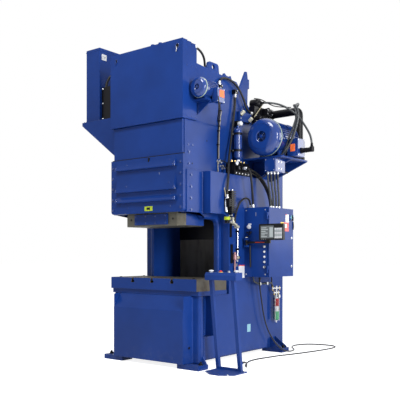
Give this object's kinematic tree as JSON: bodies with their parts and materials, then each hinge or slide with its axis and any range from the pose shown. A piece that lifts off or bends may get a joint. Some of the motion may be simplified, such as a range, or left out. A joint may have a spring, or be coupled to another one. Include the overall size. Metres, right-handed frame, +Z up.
{
  "type": "hydraulic gap-frame press",
  "caption": "Blue C-frame hydraulic press with a T-slotted bolster, a slide behind a louvred apron, side-hung motor and pump, oil tank, control cabinet and a palm-button stand.",
  "frame": {"origin": "on the floor, at the centre of the four anchor bolts", "axes": "+X to the right seen from the front, +Y from the front to the back, +Z up"},
  "size_m": [2.483, 2.7166, 3.77],
  "materials": {
    "painted_blue": "glossy royal-blue enamel",
    "dark_paint": "satin black paint",
    "throat_grey": "dull dark grey",
    "machined_steel": "machined, lightly oiled",
    "bronze": "scraped guide bronze",
    "hard_chrome": "ground and hard-chromed",
    "black_rubber": "matt",
    "black_plastic": "fine grain",
    "light_alloy": "die-cast",
    "button_plastic": "smooth",
    "red_plastic": "smooth"
  },
  "bodies": {
    "frame": {"accumulator": "painted_blue", "air_unit": "light_alloy", "apron": "painted_blue", "bed_columns": "painted_blue", "bed_front_plate": "painted_blue", "bed_top_plate": "painted_blue", "bolster": "machined_steel", "control_cabinet": "painted_blue", "control_stand": "painted_blue", "cover_bolts": "painted_blue", "crosshead": "painted_blue", "crown_cover": "painted_blue", "crown_top_plate": "painted_blue", "doubler_left": "painted_blue", "doubler_right": "painted_blue", "feet": "painted_blue", "gib_housings": "painted_blue", "gibs": "bronze", "hoses": "black_rubber", "lifting_ears": "painted_blue", "main_cylinder": "painted_blue", "main_motor": "painted_blue", "main_pump": "dark_paint", "middle_cover": "painted_blue", "motor_cowl": "painted_blue", "motor_frame": "painted_blue", "motor_junction_box": "painted_blue", "oil_cooler": "dark_paint", "oil_tank": "painted_blue", "pilot_bracket": "painted_blue", "pilot_cowl": "painted_blue", "pilot_motor": "painted_blue", "rear_plate": "painted_blue", "side_plate_left": "painted_blue", "side_plate_right": "painted_blue", "stand_cord": "black_rubber", "tank_bracket": "painted_blue", "throat_back_plate": "throat_grey", "top_lugs": "painted_blue", "top_valves": "dark_paint", "valve_manifold": "dark_paint", "valve_stack": "dark_paint"},
    "slide": {"slide": "machined_steel", "slide_face_plate": "painted_blue", "piston_rod": "hard_chrome"},
    "motor_fan": {"motor_rotor": "black_plastic"},
    "pilot_fan": {"pilot_rotor": "black_plastic"},
    "door": {"cabinet_door": "painted_blue"},
    "handle": {"disconnect_handle": "black_plastic"},
    "screen": {"screen_arm": "light_alloy", "screen_panel": "black_plastic"},
    "button_1": {"push_button_1": "button_plastic"},
    "button_2": {"push_button_2": "button_plastic"},
    "button_3": {"push_button_3": "button_plastic"},
    "button_4": {"push_button_4": "button_plastic"},
    "selector": {"selector_switch": "black_plastic"},
    "knob": {"regulator_knob": "black_plastic"},
    "palm_left": {"palm_button_left": "button_plastic"},
    "palm_right": {"palm_button_right": "button_plastic"},
    "stop": {"stop_button": "red_plastic"}
  },
  "joints": [
    {"name": "slide_stroke", "type": "slide", "parent": "frame", "child": "slide", "axis": [0, 0, 1], "range_m": [-0.25, 0]},
    {"name": "motor_spin", "type": "hinge", "parent": "frame", "child": "motor_fan", "pos_m": [0.86, 0.14, 2.62], "axis": [0, 1, 0], "continuous": true},
    {"name": "pilot_spin", "type": "hinge", "parent": "frame", "child": "pilot_fan", "pos_m": [0.67, -0.86, 3.04], "axis": [0, 1, 0], "continuous": true},
    {"name": "door_swing", "type": "hinge", "parent": "frame", "child": "door", "pos_m": [0.97, 0.03, 1.385], "axis": [0, 0, -1], "range_deg": [0, 90]},
    {"name": "handle_turn", "type": "hinge", "parent": "door", "child": "handle", "pos_m": [0.983, 0.54, 1.69], "axis": [1, 0, 0], "range_deg": [0, 90]},
    {"name": "screen_swing", "type": "hinge", "parent": "frame", "child": "screen", "pos_m": [0.7, 0, 1.38], "axis": [0, 0, 1], "range_deg": [-60, 0]},
    {"name": "selector_turn", "type": "hinge", "parent": "frame", "child": "selector", "pos_m": [0.925, 0.04, 1.097], "axis": [0, 1, 0], "range_deg": [-45, 45]},
    {"name": "regulator_turn", "type": "hinge", "parent": "frame", "child": "knob", "pos_m": [0.596, 0.88, 0.536], "axis": [0, 1, 0], "range_deg": [0, 720]},
    {"name": "button_press_1", "type": "slide", "parent": "frame", "child": "button_1", "axis": [0, 1, 0], "range_m": [0, 0.006], "stiffness_N_per_m": 400, "springref_m": -0.004},
    {"name": "button_press_2", "type": "slide", "parent": "frame", "child": "button_2", "axis": [0, 1, 0], "range_m": [0, 0.006], "stiffness_N_per_m": 400, "springref_m": -0.004},
    {"name": "button_press_3", "type": "slide", "parent": "frame", "child": "button_3", "axis": [0, 1, 0], "range_m": [0, 0.006], "stiffness_N_per_m": 400, "springref_m": -0.004},
    {"name": "button_press_4", "type": "slide", "parent": "frame", "child": "button_4", "axis": [0, 1, 0], "range_m": [0, 0.006], "stiffness_N_per_m": 400, "springref_m": -0.004},
    {"name": "palm_press_left", "type": "slide", "parent": "frame", "child": "palm_left", "axis": [0, 0, -1], "range_m": [0, 0.008], "stiffness_N_per_m": 500, "springref_m": -0.008},
    {"name": "palm_press_right", "type": "slide", "parent": "frame", "child": "palm_right", "axis": [0, 0, -1], "range_m": [0, 0.008], "stiffness_N_per_m": 500, "springref_m": -0.008},
    {"name": "stop_press", "type": "slide", "parent": "frame", "child": "stop", "axis": [0, 0, -1], "range_m": [0, 0.006], "stiffness_N_per_m": 500, "springref_m": -0.008}
  ]
}
